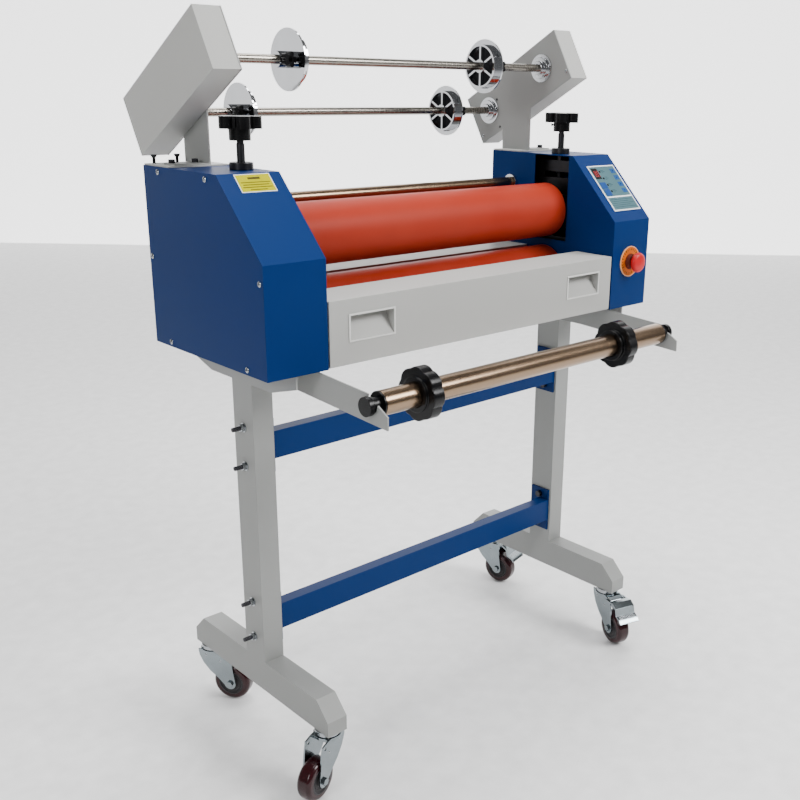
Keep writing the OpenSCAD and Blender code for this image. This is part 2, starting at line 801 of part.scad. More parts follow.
stand(-1);  // stand_left
stand(1);  // stand_right
beam(beam_z[0]);  // upper_beam
beam(beam_z[1]);  // lower_beam
fasteners();
saddle(-1);  // saddle_left
saddle(1);  // saddle_right
cover(-1);  // cover_left
cover(1);  // cover_right
panel(-1);  // panel_left
panel(1);  // panel_right
frame(-1);  // frame_left
frame(1);  // frame_right
top_plates();
base_plate();
post(-1);  // post_left
post(1);  // post_right
arm_box(-1);  // box_left
arm_box(1);  // box_right
bushings();
control_panel();
estop_base();
estop_button();
gear_motor();
power_unit();
motor_pinion();
lower_core();
rubber(lower_z);  // lower_rubber
color("silver") roller_core(upper_z, 398);  // upper_core
rubber(upper_z);  // upper_rubber
bearing_blocks();
handwheel(-1);  // handwheel_left
handwheel(1);  // handwheel_right
rear_roller();
supply_shaft(shaft_front);  // supply_shaft_front
supply_shaft(shaft_rear);  // supply_shaft_rear
color("silver") disc_place(0) core_disc();  // disc_front_left
color("silver") disc_place(1) core_disc();  // disc_front_right
color("silver") disc_place(2) core_disc();  // disc_rear_left
color("silver") disc_place(3) core_disc();  // disc_rear_right
color("black") disc_place(0) thumb_knob();  // thumb_knob_front_left
color("black") disc_place(1) thumb_knob();  // thumb_knob_front_right
color("black") disc_place(2) thumb_knob();  // thumb_knob_rear_left
color("black") disc_place(3) thumb_knob();  // thumb_knob_rear_right
takeup_plugs();
takeup_tube();
takeup_wheel(wheel_x[0]);  // takeup_wheel_left
takeup_wheel(wheel_x[1]);  // takeup_wheel_right
feed_tray();
caster_stems();
fork(0);  // fork_front_left
fork(1);  // fork_front_right
fork(2);  // fork_back_left
fork(3);  // fork_back_right
caster_wheel(0);  // wheel_front_left
caster_wheel(1);  // wheel_front_right
caster_wheel(2);  // wheel_back_left
caster_wheel(3);  // wheel_back_right
brake(1);  // brake_front_right
brake(3);  // brake_back_right
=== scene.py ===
# %% [markdown]
# # A cold roll laminator on a caster stand
# The machine is a sheet-metal product: painted covers and tubes, ground steel shafts, two rubber
# rollers and a handful of moulded knobs. Its engineering model is loaded first and fixes every size
# and place, so the work here is to turn plain solids into finished pieces: rolled edges on the sheet,
# screw heads with recesses, printed panels, and a surface for each material.
# The plan is: load, camera and light, the shader helper, the finishes, then piece after piece.

# %% Load the model
import json
import math

import bpy
from mathutils import Matrix, Vector

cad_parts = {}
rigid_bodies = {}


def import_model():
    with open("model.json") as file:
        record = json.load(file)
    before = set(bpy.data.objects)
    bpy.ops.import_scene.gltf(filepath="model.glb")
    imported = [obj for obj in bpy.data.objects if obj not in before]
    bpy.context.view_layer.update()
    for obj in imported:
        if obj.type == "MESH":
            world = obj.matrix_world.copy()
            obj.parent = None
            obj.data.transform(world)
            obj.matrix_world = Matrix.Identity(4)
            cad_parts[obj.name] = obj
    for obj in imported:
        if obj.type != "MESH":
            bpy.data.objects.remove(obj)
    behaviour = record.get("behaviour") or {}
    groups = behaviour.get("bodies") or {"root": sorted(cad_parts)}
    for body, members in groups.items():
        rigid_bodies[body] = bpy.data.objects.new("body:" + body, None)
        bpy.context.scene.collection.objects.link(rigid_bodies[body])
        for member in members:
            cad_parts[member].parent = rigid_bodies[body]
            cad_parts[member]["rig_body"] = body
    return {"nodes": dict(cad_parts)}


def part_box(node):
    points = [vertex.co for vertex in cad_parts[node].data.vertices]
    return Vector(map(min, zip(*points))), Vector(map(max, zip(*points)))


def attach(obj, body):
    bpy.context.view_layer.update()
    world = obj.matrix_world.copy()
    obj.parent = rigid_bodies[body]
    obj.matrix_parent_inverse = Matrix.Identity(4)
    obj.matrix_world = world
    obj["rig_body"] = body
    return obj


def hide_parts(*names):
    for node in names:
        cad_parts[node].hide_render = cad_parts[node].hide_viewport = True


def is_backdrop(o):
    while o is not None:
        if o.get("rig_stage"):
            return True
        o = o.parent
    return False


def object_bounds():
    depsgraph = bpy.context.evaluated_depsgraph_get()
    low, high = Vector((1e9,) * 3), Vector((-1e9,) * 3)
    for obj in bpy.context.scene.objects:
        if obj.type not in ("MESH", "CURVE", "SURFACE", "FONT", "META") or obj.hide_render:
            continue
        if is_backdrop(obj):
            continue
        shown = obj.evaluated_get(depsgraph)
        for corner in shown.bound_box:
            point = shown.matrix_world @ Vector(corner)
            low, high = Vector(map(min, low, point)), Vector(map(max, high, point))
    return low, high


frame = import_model()
LOW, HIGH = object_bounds()
NODES = frame["nodes"]
BODY_OF = {n: o["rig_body"] for n, o in NODES.items()}
print("nodes:", len(NODES), "size:", [round(b - a, 3) for a, b in zip(LOW, HIGH)])

# %% [markdown]
# ## Places worked out from the model
# The covers give the front plane and the underside of the machine. Every fitting is placed from these
# two, in millimetres, so the pieces follow the model when it is set down elsewhere in the frame.

# %% Places
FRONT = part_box("cover_right")[0].y
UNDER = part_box("cover_right")[0].z
MM = 0.001


def place(x, y, z):
    """A point in metres, from millimetres across, behind the covers' front and above their bottom."""
    return Vector((x * MM, FRONT + y * MM, UNDER + z * MM))


print("front plane", round(FRONT, 4), "underside", round(UNDER, 4))

# %% [markdown]
# ## Camera
# A standing person sees the machine from its left front corner, a little from above. The lens is
# slightly long, and the view is level but for one degree.

# %% Camera
CAMERA_AT = place(-1266, -1252.4, 430.8)
TURN, DIP, ROLL = math.radians(-43.88), math.radians(-17.87), math.radians(0.94)
look = Vector((-math.sin(TURN) * math.cos(DIP), math.cos(TURN) * math.cos(DIP), math.sin(DIP)))
across = Vector((math.cos(TURN), math.sin(TURN), 0))
upright = across.cross(look)
side = across * math.cos(ROLL) + upright * math.sin(ROLL)
top = upright * math.cos(ROLL) - across * math.sin(ROLL)
camera = bpy.data.objects.new("camera", bpy.data.cameras.new("camera"))
camera.data.lens = 45.45
camera.data.sensor_width = 36
camera.data.shift_x = -0.0766
camera.data.shift_y = 0.0137
camera.data.clip_end = 50
camera.matrix_world = Matrix((side, top, -look)).transposed().to_4x4()
camera.location = CAMERA_AT
bpy.context.scene.collection.objects.link(camera)
bpy.context.scene.camera = camera
print("camera at", [round(c, 3) for c in CAMERA_AT])

# %% [markdown]
# ## Light and floor
# Sheet metal shows its shape through soft, broad light. One large lamp in front lights the slopes,
# another overhead lights the tops, and a weak one fills the left side. Polished metal shows only what
# it mirrors: a lamp behind on the left brightens the disc faces, a white wall stands behind the
# machine, and dark cards out of view put dark bands between the highlights.

# %% Light and floor


def lamp(name, at, aim, size, power):
    """A square area lamp at a point, aimed at another."""
    data = bpy.data.lights.new(name, "AREA")
    data.size, data.energy = size, power
    made = bpy.data.objects.new(name, data)
    made.location = at
    made.rotation_euler = (Vector(aim) - Vector(at)).to_track_quat("-Z", "Y").to_euler()
    bpy.context.scene.collection.objects.link(made)
    return made


lamp("key", (1.6, -2.8, 3.0), (0, 0, 0.9), 1.6, 190)
lamp("fill", (-3.4, -1.0, 2.2), (0, 0, 0.8), 1.2, 55)
lamp("top", (0.2, 0.5, 3.6), (0, 0.1, 0.9), 2.0, 130)
lamp("rim", (-2.45, 3.6, 1.25), (-0.25, 0.2, 1.15), 1.5, 9)

world = bpy.data.worlds.new("studio")
bpy.context.scene.world = world
world.use_nodes = True
tree = world.node_tree
ramp = tree.nodes.new("ShaderNodeValToRGB")
split = tree.nodes.new("ShaderNodeSeparateXYZ")
coords = tree.nodes.new("ShaderNodeTexCoord")
lift = tree.nodes.new("ShaderNodeMath")
lift.operation = "MULTIPLY_ADD"
lift.inputs[1].default_value = 0.5
lift.inputs[2].default_value = 0.5
tree.links.new(coords.outputs["Generated"], split.inputs[0])
tree.links.new(split.outputs["Z"], lift.inputs[0])
tree.links.new(lift.outputs[0], ramp.inputs[0])
tree.links.new(ramp.outputs[0], tree.nodes["Background"].inputs["Color"])
for stop, (at, grey) in enumerate(((0.0, 0.7), (0.5, 1.0), (0.72, 0.8), (1.0, 0.6))):
    if stop > 1:
        ramp.color_ramp.elements.new(at)
    ramp.color_ramp.elements[stop].position = at
    ramp.color_ramp.elements[stop].color = (grey, grey, grey, 1)
tree.nodes["Background"].inputs["Strength"].default_value = 0.28


def card(name, at, aim, wide, high):
    """A dark card out of view, for the bright metal to mirror."""
    bpy.ops.mesh.primitive_plane_add(size=1, location=at)
    made = bpy.context.object
    made.scale = (wide, high, 1)
    made.rotation_euler = (Vector(aim) - Vector(at)).to_track_quat("Z", "Y").to_euler()
    made.name = name
    made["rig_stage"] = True
    return made


bpy.ops.mesh.primitive_plane_add(size=1, location=CAMERA_AT + look * 8 + Vector((0, 0, 2)))
wall = bpy.context.object
wall.name = "wall"
wall.scale = (18, 12, 1)
wall.rotation_euler = (math.pi / 2, 0, TURN)
wall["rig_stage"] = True
CARDS = [
    card("card_front", (0.6, -3.6, 0.9), (0, 0, 0.9), 3.4, 0.8),
    card("card_left", (-3.4, -0.2, 0.9), (0, 0, 1.1), 2.4, 0.7),
    card("card_high", (-0.4, -2.4, 3.4), (0, 0, 1.1), 2.4, 0.4),
]

bpy.ops.mesh.primitive_plane_add(size=14, location=(0, 0, LOW.z))
floor = bpy.context.object
floor.name = "floor"
floor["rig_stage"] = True

# %% [markdown]
# ## Shader maths in plain Python
# A finish is easier to read as an expression than as a web of nodes. Socket wraps one output and
# adds a Math node for each operator used on it; Finish starts a material, keeps its constants on the
# shader's own sockets and makes any other node by its type.

# %% Shader helper


class Socket:
    """One shader value: arithmetic on it adds Math nodes."""

    def __init__(self, finish, output):
        self.finish, self.output = finish, output

    def maths(self, operation, *values):
        """A Math node of that operation on the values."""
        node = self.finish.tree.nodes.new("ShaderNodeMath")
        node.operation = operation
        for socket, value in zip(node.inputs, values):
            self.finish.feed(socket, value)
        return Socket(self.finish, node.outputs[0])

    def __add__(self, other):
        return self.maths("ADD", self, other)

    def __mul__(self, other):
        return self.maths("MULTIPLY", self, other)

    __radd__ = __add__
    __rmul__ = __mul__


class Finish:
    """A material under construction: constants on the shader, nodes by type."""

    def __init__(self, name, **constants):
        self.material = bpy.data.materials.new(name)
        self.material.use_nodes = True
        self.tree = self.material.node_tree
        self.shader = self.tree.nodes["Principled BSDF"]
        for socket, value in constants.items():
            self.feed(self.shader.inputs[socket.replace("_", " ")], value)
        self.at = self.node("ShaderNodeTexCoord", out="Object")

    def feed(self, socket, value):
        """Links a Socket, or sets a plain value."""
        if isinstance(value, Socket):
            self.tree.links.new(value.output, socket)
        elif isinstance(value, (tuple, list)) and len(value) == 3 and socket.type == "RGBA":
            socket.default_value = (*value, 1)
        else:
            socket.default_value = value

    def node(self, kind, settings=None, out=0, **values):
        """A node of that type: its settings first, then its inputs, by name."""
        node = self.tree.nodes.new(kind)
        for key, value in (settings or {}).items():
            setattr(node, key, value)
        for key, value in values.items():
            self.feed(node.inputs[key.replace("_", " ")], value)
        return Socket(self, node.outputs[out])

    def stretched(self, x, y, z):
        """The object's coordinates, scaled differently along each axis."""
        return self.node("ShaderNodeMapping", Vector=self.at, Scale=(x, y, z))

    def noise(self, scale, detail=3.0, where=None):
        """Soft noise between 0 and 1."""
        return self.node("ShaderNodeTexNoise", Vector=where or self.at, Scale=scale, Detail=detail)

    def mix(self, share, one, other):
        """A colour between two."""
        node = self.tree.nodes.new("ShaderNodeMix")
        node.data_type = "RGBA"
        self.feed(node.inputs[0], share)
        self.feed(node.inputs[6], one)
        self.feed(node.inputs[7], other)
        return Socket(self, node.outputs[2])

    def ramp(self, value, *stops):
        """A smooth grey ramp through (place, level) stops."""
        node = self.tree.nodes.new("ShaderNodeValToRGB")
        self.feed(node.inputs[0], value)
        elements = node.color_ramp.elements
        while len(elements) < len(stops):
            elements.new(0.5)
        for element, (spot, level) in zip(elements, stops):
            element.position = spot
            element.color = (level, level, level, 1)
        return Socket(self, node.outputs[0])

    def bump(self, height, strength, distance):
        """A normal bent by a height."""
        return self.node("ShaderNodeBump", Height=height, Strength=strength, Distance=distance)

    def finish(self, **links):
        """Feeds the shader and returns the material."""
        for socket, value in links.items():
            self.feed(self.shader.inputs[socket.replace("_", " ")], value)
        return self.material


# %% [markdown]
# ## Paint
# Powder coat is sprayed as dust and baked. It flows into a skin with a faint orange peel, a few
# millimetres from crest to crest, and it never has quite one tone over a whole panel. Two noises do
# that: a wide one tints the colour, and a fine one bends the normal.

# %% Paint


def paint(name, colour, gloss, peel=0.12, spread=0.05, shine=0.25):
    """Powder coat of one colour: a wide tint, a fine orange peel, uneven gloss."""
    made = Finish(name, Specular_IOR_Level=shine)
    wide = made.noise(3.5, 2)
    fine = made.noise(420, 2)
    lighter = tuple(min(1, c * (1 + spread)) for c in colour)
    darker = tuple(c * (1 - spread) for c in colour)
    dust = made.ramp(made.noise(900, 2), (0.66, 0), (0.74, 1))
    tinted = made.mix(wide, darker, lighter)
    return made.finish(
        Base_Color=made.mix(dust * 0.10, tinted, tuple(c * 0.8 for c in colour)),
        Roughness=wide * 0.08 + gloss,
        Normal=made.bump(fine, peel, 0.0004),
    )


# The same grey paint as the boxes, made darker as painted shade for the stand, saddles, posts and base
# plate, which get less of the overhead light.
SHADED_GREY = paint("grey_coat_painted_shade", (0.275, 0.28, 0.272), 0.42)
PALE = paint("pale_powder_coat", (0.41, 0.41, 0.395), 0.42)
BLUE = paint("blue_powder_coat", (0.0002, 0.020, 0.105), 0.36, peel=0.16, spread=0.10, shine=0.09)
LIP_WHITE = paint("white_powder_coat", (0.66, 0.66, 0.64), 0.42)
MOTOR = paint("black_enamel", (0.02, 0.02, 0.024), 0.35)
print("paints:", [m.name for m in (SHADED_GREY, PALE, BLUE, LIP_WHITE, MOTOR)])

# %% [markdown]
# ## Metals
# The shafts are ground steel: the wheel leaves fine rings round them, so the noise is squeezed along
# the axis. Chrome mirrors nearly all, with faint smears. Zinc plating is duller and cloudy, and bluish
# on the caster forks. The take-up tube is polished stainless with a warm cast.

# %% Metals


def turned_metal(name, colour, rough, rings=0.5):
    """Metal finished on a lathe or grinder, with fine rings round the X axis."""
    made = Finish(name, Metallic=1.0)
    lines = made.noise(1, 4, made.stretched(1500, 6, 6))
    cloud = made.noise(9, 3)
    return made.finish(
        Base_Color=made.mix(cloud, tuple(c * 0.86 for c in colour), colour),
        Roughness=lines * 0.16 + cloud * 0.10 + rough,
        Normal=made.bump(lines, rings * 0.12, 0.0001),
    )


def plated(name, colour, rough, cloud_scale=30, cloudy=0.12):
    """Chrome or zinc plating: cloudy tone, faint smears, no grain."""
    made = Finish(name, Metallic=1.0)
    cloud = made.noise(cloud_scale, 4)
    smear = made.ramp(made.noise(14, 5, made.stretched(1, 3, 1)), (0.45, 0), (0.8, 1))
    return made.finish(
        Base_Color=made.mix(cloud, tuple(c * (1 - cloudy) for c in colour), colour),
        Roughness=smear * 0.10 + rough,
        Normal=made.bump(cloud, 0.03, 0.0003),
    )


STEEL = turned_metal("ground_steel", (0.27, 0.25, 0.22), 0.13, 0.15)
TUBE = turned_metal("warm_stainless", (0.27, 0.185, 0.12), 0.10, 0.3)
CHROME = plated("bright_chrome", (0.60, 0.61, 0.63), 0.05)
FORKS = plated("blue_zinc_plate", (0.30, 0.34, 0.36), 0.16, 60, 0.25)
ZINC = plated("zinc_plate", (0.42, 0.44, 0.46), 0.20, 160, 0.22)
BLACK_STEEL = plated("blackened_steel", (0.05, 0.05, 0.055), 0.34, 90, 0.3)
BRASS = turned_metal("machined_brass", (0.72, 0.52, 0.23), 0.25)
print("metals:", [m.name for m in (STEEL, TUBE, CHROME, FORKS, ZINC, BLACK_STEEL, BRASS)])

# %% [markdown]
# ## Rubber and plastics
# The roller covering is silicone ground to size: matte, with fine rings and a slightly mottled tone
# that is dustier in patches. Moulded plastic gets a low, fine grain. The caster tyres are cast
# polyurethane, deep and glossy.

# %% Rubber and plastics


def ground_rubber(name, colour):
    """Silicone rubber ground between centres."""
    made = Finish(name, Specular_IOR_Level=0.10)
    rings = made.noise(1, 3, made.stretched(900, 8, 8))
    mottle = made.noise(14, 5)
    dust = made.ramp(made.noise(5, 4), (0.35, 0), (0.75, 1))
    darker = tuple(c * 0.88 for c in colour)
    lighter = tuple(min(1, c * 1.1) for c in colour)
    tone = made.mix(mottle, darker, lighter)
    return made.finish(
        Base_Color=made.mix(dust * 0.12, tone, (0.44, 0.10, 0.06)),
        Roughness=rings * 0.12 + dust * 0.08 + 0.38,
        Normal=made.bump(rings + mottle * 0.4, 0.10, 0.00015),
    )


def moulded(name, colour, rough, grain=0.10, coat=0.0, shine=0.5):
    """Moulded plastic: fine grain, uneven gloss."""
    made = Finish(name, Coat_Weight=coat, Coat_Roughness=0.1, Specular_IOR_Level=shine)
    fine = made.noise(1300, 2)
    patch = made.noise(24, 3)
    darker = tuple(c * 0.85 for c in colour)
    lighter = tuple(min(1, c * 1.12) for c in colour)
    return made.finish(
        Base_Color=made.mix(patch, darker, lighter),
        Roughness=patch * 0.12 + rough,
        Normal=made.bump(fine, grain, 0.0002),
    )


ORANGE = ground_rubber("orange_silicone", (0.32, 0.024, 0.010))
BLACK = moulded("black_plastic", (0.0025, 0.0025, 0.003), 0.20, shine=0.22)
TYRE = moulded("maroon_polyurethane", (0.022, 0.0012, 0.003), 0.16, 0.04, 0.2, 0.3)
RIM = moulded("grey_wheel_rim", (0.030, 0.028, 0.030), 0.38, shine=0.3)
# The stop's neck is red plastic, darkened to red-brown as painted shade under the mushroom head.
SHADED_NECK = moulded("stop_neck_painted_shade", (0.10, 0.014, 0.006), 0.4, 0.03, shine=0.2)
YELLOW = moulded("yellow_ring_plastic", (0.62, 0.12, 0.005), 0.4, 0.06, shine=0.15)
RED = moulded("red_button_plastic", (0.50, 0.006, 0.010), 0.28, 0.03, shine=0.25)
FILM = moulded("printed_film", (0.055, 0.125, 0.145), 0.38, 0.08, shine=0.15)
WHITE = moulded("white_print", (0.80, 0.82, 0.84), 0.35, 0.03)
KEY_BLUE = moulded("blue_print", (0.001, 0.045, 0.20), 0.4, 0.03, shine=0.15)
DARK = moulded("dark_window", (0.006, 0.005, 0.006), 0.12, 0.02, 0.5)
GLOW = moulded("red_segments", (0.42, 0.01, 0.015), 0.3, 0.02)
LABEL = moulded("label_yellow", (0.47, 0.44, 0.0), 0.6, 0.04, shine=0.0)
INK = moulded("label_ink", (0.06, 0.05, 0.005), 0.5, 0.02, shine=0.08)
STUDIO = moulded("studio_floor", (0.88, 0.88, 0.88), 0.55, 0.02)
WALL = Finish("studio_wall", Emission_Strength=2.2)
cloud = WALL.noise(0.3, 1)
white = WALL.mix(cloud, (0.97, 0.97, 0.97), (1, 1, 1))
wall.data.materials.append(WALL.finish(Base_Color=white, Emission_Color=white))
floor.data.materials.append(STUDIO)
for dark_card in CARDS:
    dark_card.data.materials.append(DARK)
print("plastics ready")

# %% [markdown]
# ## Tools for making pieces
# An operator works on whatever is selected, and the model's nodes come in selected, so everything is
# deselected first. A finished piece has its place in its mesh, rides on a body, takes a material,
# and may stand in for a node.


def deselect():
    """Nothing selected."""
    bpy.ops.object.select_all(action="DESELECT")


def only(obj):
    """That object alone selected and active."""
    deselect()
    obj.select_set(True)
    bpy.context.view_layer.objects.active = obj
    return obj


def bevel(obj, width, segments=2, angle=35):
    """Rounds the edges sharper than an angle, and applies it."""
    only(obj)
    rounder = obj.modifiers.new("bevel", "BEVEL")
    rounder.width, rounder.segments = width, segments
    rounder.limit_method = "ANGLE"
    rounder.angle_limit = math.radians(angle)
    bpy.ops.object.modifier_apply(modifier=rounder.name)
    return obj


def settle(obj, name, node, material, body=None, stands_for=(), smooth=35):
    """Names a finished piece, puts its place in its mesh and hands it to the frame."""
    only(obj)
    bpy.ops.object.transform_apply(location=True, rotation=True, scale=True)
    bpy.ops.object.shade_smooth_by_angle(angle=math.radians(smooth))
    weighted = obj.modifiers.new("weighted", "WEIGHTED_NORMAL")
    weighted.keep_sharp = True
    bpy.ops.object.modifier_apply(modifier=weighted.name)
    obj.name = name
    obj.data.name = name
    obj.data.materials.clear()
    obj.data.materials.append(material)
    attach(obj, body or BODY_OF[node])
    if stands_for:
        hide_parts(*stands_for)
    return obj


def copy_of(node):
    """A welded copy of a node's mesh with its flat faces made whole."""
    made = NODES[node].copy()
    made.data = NODES[node].data.copy()
    for key in list(made.keys()):
        del made[key]
    made.parent = None
    made.hide_viewport = made.hide_render = False
    bpy.context.scene.collection.objects.link(made)
    only(made)
    bpy.ops.object.mode_set(mode="EDIT")
    bpy.ops.mesh.select_all(action="SELECT")
    bpy.ops.mesh.remove_doubles(threshold=0.00001)
    bpy.ops.mesh.dissolve_limited(angle_limit=math.radians(0.5))
    bpy.ops.object.mode_set(mode="OBJECT")
    if made.data.has_custom_normals:
        bpy.ops.mesh.customdata_custom_splitnormals_clear()
    return made


def drop(obj, unwanted):
    """Deletes the vertices that a test picks out, in edit mode."""
    only(obj)
    bpy.ops.object.mode_set(mode="EDIT")
    bpy.ops.mesh.select_all(action="DESELECT")
    bpy.ops.object.mode_set(mode="OBJECT")
    for vertex in obj.data.vertices:
        vertex.select = unwanted(vertex.co)
    bpy.ops.object.mode_set(mode="EDIT")
    bpy.ops.mesh.delete(type="VERT")
    bpy.ops.object.mode_set(mode="OBJECT")
    return obj


def edged(node, material, width=0.0007, segments=2, angle=35):
    """A node's shape with its edges rolled over, standing for the node."""
    made = bevel(copy_of(node), width, segments, angle)
    return settle(made, node + "_shell", node, material, stands_for=(node,))


# %% [markdown]
# ## Basic shapes
# Turned parts come from a grid rolled round an axis, so a screw head or a wheel is one list of
# distances and radii. Flat parts are cubes between two corners. Both are made in millimetres and
# set down with a matrix, which is later baked into the mesh.

# %% Basic shapes


def facing(at, axis):
    """The matrix that puts a shape at a point, its own Z along an axis."""
    return Matrix.Translation(at) @ Vector(axis).to_track_quat("Z", "Y").to_matrix().to_4x4()


def lathe(profile, where, steps=48):
    """A grid rolled round Z: the profile is (along the axis, radius), in millimetres."""
    rows = len(profile) - 1
    bpy.ops.mesh.primitive_grid_add(x_subdivisions=steps, y_subdivisions=rows, size=2)
    made = bpy.context.object
    for vertex in made.data.vertices:
        turn = math.pi * (vertex.co.x + 1)
        along, radius = profile[round((vertex.co.y + 1) / 2 * rows)]
        vertex.co = Vector((radius * math.cos(turn), radius * math.sin(turn), along)) * MM
    bpy.ops.object.mode_set(mode="EDIT")
    bpy.ops.mesh.select_all(action="SELECT")
    bpy.ops.mesh.remove_doubles(threshold=0.000001)
    bpy.ops.mesh.normals_make_consistent(inside=False)
    bpy.ops.object.mode_set(mode="OBJECT")
    made.matrix_world = where
    return made


def rod(length, d, where, chamfer=0.4, steps=48):
    """A round bar with small chamfers."""
    r = d / 2
    ends = ((0, 0), (0, r - chamfer), (chamfer, r))
    far = ((length - chamfer, r), (length, r - chamfer), (length, 0))
    return lathe(ends + far, where, steps)


def thread(length, d, where, pitch=1.25):
    """A threaded rod: crests and roots in rings."""
    turns = max(1, int(length / pitch))
    rings = [(0, 0), (0, d / 2 - 0.6)]
    for i in range(turns):
        rings += [((i + 0.35) * pitch, d / 2), ((i + 0.95) * pitch, d / 2 - 0.55)]
    return lathe(rings + [(length, d / 2 - 0.7), (length, 0)], where, 24)


def hexagon(length, flats, where):
    """A hexagonal prism, its corners turned down a little."""
    bpy.ops.mesh.primitive_cylinder_add(vertices=6, radius=flats / math.sqrt(3) * MM, depth=length * MM)
    made = bpy.context.object
    made.data.transform(Matrix.Translation((0, 0, length / 2 * MM)))
    made.matrix_world = where
    return bevel(made, 0.0005, 2)


def slab(low, high, where, round_to=0.3):
    """A block between two corners, in millimetres, with rolled edges."""
    low, high = Vector(low) * MM, Vector(high) * MM
    bpy.ops.mesh.primitive_cube_add(size=1)
    made = bpy.context.object
    size = high - low
    made.data.transform(Matrix.Translation((low + high) / 2) @ Matrix.Diagonal((*size, 1)))
    made.matrix_world = where
    return bevel(made, round_to * MM, 2) if round_to else made


def baked(obj):
    """The object with its place in its mesh."""
    only(obj)
    bpy.ops.object.transform_apply(location=True, rotation=True, scale=True)
    return obj


def joined(parts):
    """Several objects made one."""
    parts = [baked(p) for p in parts]
    only(parts[0])
    for part in parts:
        part.select_set(True)
    if len(parts) > 1:
        bpy.ops.object.join()
    return bpy.context.view_layer.objects.active


def cut(obj, *tools):
    """The object with the tools' volumes taken away."""
    for tool in tools:
        only(obj)
        carve = obj.modifiers.new("cut", "BOOLEAN")
        carve.operation, carve.object, carve.solver = "DIFFERENCE", tool, "EXACT"
        bpy.ops.object.modifier_apply(modifier=carve.name)
        bpy.data.objects.remove(tool)
    return obj


def repeated(template, places):
    """A shape set down at every place and joined; the template goes."""
    copies = []
    for where in places:
        made = template.copy()
        made.data = template.data.copy()
        bpy.context.scene.collection.objects.link(made)
        made.matrix_world = where
        copies.append(made)
    bpy.data.objects.remove(template)
    return joined(copies)


FLAT = Matrix.Identity(4)
SIDES = (-1, 1)
print("shapes ready")

# %% [markdown]
# ## Sheet metal and tubes
# Folded sheet has a small radius on each outside bend, and cut edges keep a fine burr line that
# catches the light. Each node is copied, welded and given rolled edges wide enough to show as a
# highlight at arm's length.

# %% Covers, stand and boxes
for node, finish, width in (
    ("cover_left", BLUE, 0.8), ("cover_right", BLUE, 0.8), ("panel_left", BLUE, 0.5),
    ("panel_right", BLUE, 0.5), ("upper_beam", BLUE, 1.0), ("lower_beam", BLUE, 1.0),
    ("stand_left", SHADED_GREY, 1.6), ("stand_right", SHADED_GREY, 1.6), ("saddle_left", SHADED_GREY, 0.6),
    ("saddle_right", SHADED_GREY, 0.6), ("post_left", SHADED_GREY, 0.5), ("post_right", SHADED_GREY, 0.5),
    ("box_left", PALE, 0.9), ("box_right", PALE, 0.9), ("base_plate", SHADED_GREY, 0.6),
    ("feed_tray", PALE, 0.7),
):
    edged(node, finish, width * MM)

BETWEEN = FRONT + 0.25
plates = drop(copy_of("top_plates"), lambda co: co.y < BETWEEN)
settle(bevel(plates, 0.0005), "post_plates", "top_plates", PALE, stands_for=("top_plates",))
seats = drop(copy_of("top_plates"), lambda co: co.y > BETWEEN)
settle(bevel(seats, 0.0012, 3), "screw_seats", "top_plates", BLACK_STEEL,
       stands_for=("top_plates",))
print("sheet metal done")

# %% [markdown]
# ## Rims of the tray's grips
# Each grip is a wedge-shaped pocket with a raised rim, and the rim is paler than the tray. Four thin
# strips lie on it, so it reads from across a room.

# %% Grip rims
TRAY_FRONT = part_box("feed_tray")[0].y
GRIP_X, HALF, EDGE = 264, 48, 45
LOW_RIM, HIGH_RIM = (38, 41), (81, 84)
for word, s in (("left", -1), ("right", 1)):
    spot = Matrix.Translation((s * GRIP_X * MM, TRAY_FRONT, UNDER))
    strips = [slab((-HALF, -0.25, low), (HALF, 0.1, high), spot, 0.1) for low, high in (LOW_RIM, HIGH_RIM)]
    for left, right in ((-HALF, -EDGE), (EDGE, HALF)):
        strips.append(slab((left, -0.25, LOW_RIM[1]), (right, 0.1, HIGH_RIM[0]), spot, 0.1))
    settle(joined(strips), "grip_rim_" + word, "feed_tray", LIP_WHITE)
print("grip rims done")

# %% [markdown]
# ## Rollers and shafts
# The rubber is ground with its corners broken, and it overhangs the steel core by nothing. The nip
# is open a little, as for a thick board, so both rollers stand clear of each other.

# %% Rollers and shafts
for node, finish, width in (
    ("upper_rubber", ORANGE, 0.8), ("lower_rubber", ORANGE, 0.8), ("upper_core", STEEL, 0.5),
    ("lower_core", STEEL, 0.3), ("rear_roller", TUBE, 0.5), ("supply_shaft_front", STEEL, 0.5),
    ("supply_shaft_rear", STEEL, 0.5), ("takeup_tube", TUBE, 0.4), ("takeup_plugs", BLACK, 0.6),
    ("bushings", CHROME, 0.6), ("bearing_blocks", BLACK_STEEL, 0.5), ("frame_left", BLACK_STEEL, 0.5),
    ("frame_right", BLACK_STEEL, 0.5), ("gear_motor", MOTOR, 0.8), ("power_unit", BLACK, 0.6),
    ("motor_pinion", BRASS, 0.2),
):
    edged(node, finish, width * MM)
print("rollers and shafts done")

# %% [markdown]
# ## Screws and bolts
# One head is built for each kind of screw and set down wherever the machine has one. The panel
# screws have a cross recess, the post bolts a hexagon socket, and the beam bolts show a few turns
# of thread beyond their nuts.

# %% Screws and bolts
PANEL_SCREWS = ((296, 289.6), (149, 288.7), (335, 148.8), (9.5, 148.3), (290.8, 8.5), (55, 8.5))
BOX_SCREWS = ((172.6, 461.7), (407.6, 324.0))
SMALL_SCREWS = ((368.2, 402.3), (356.5, 345.6))
BEAM_HEIGHTS = (-164 - 35, -164 + 35, -495 - 35, -495 + 35)
PANEL_FACE, BOX_FACE, LEG_Y = 466.5, 385, 175
BOLT_FROM, SHANK_FROM, NUT_FROM, THREAD_FROM = 354, 361, 406, 414


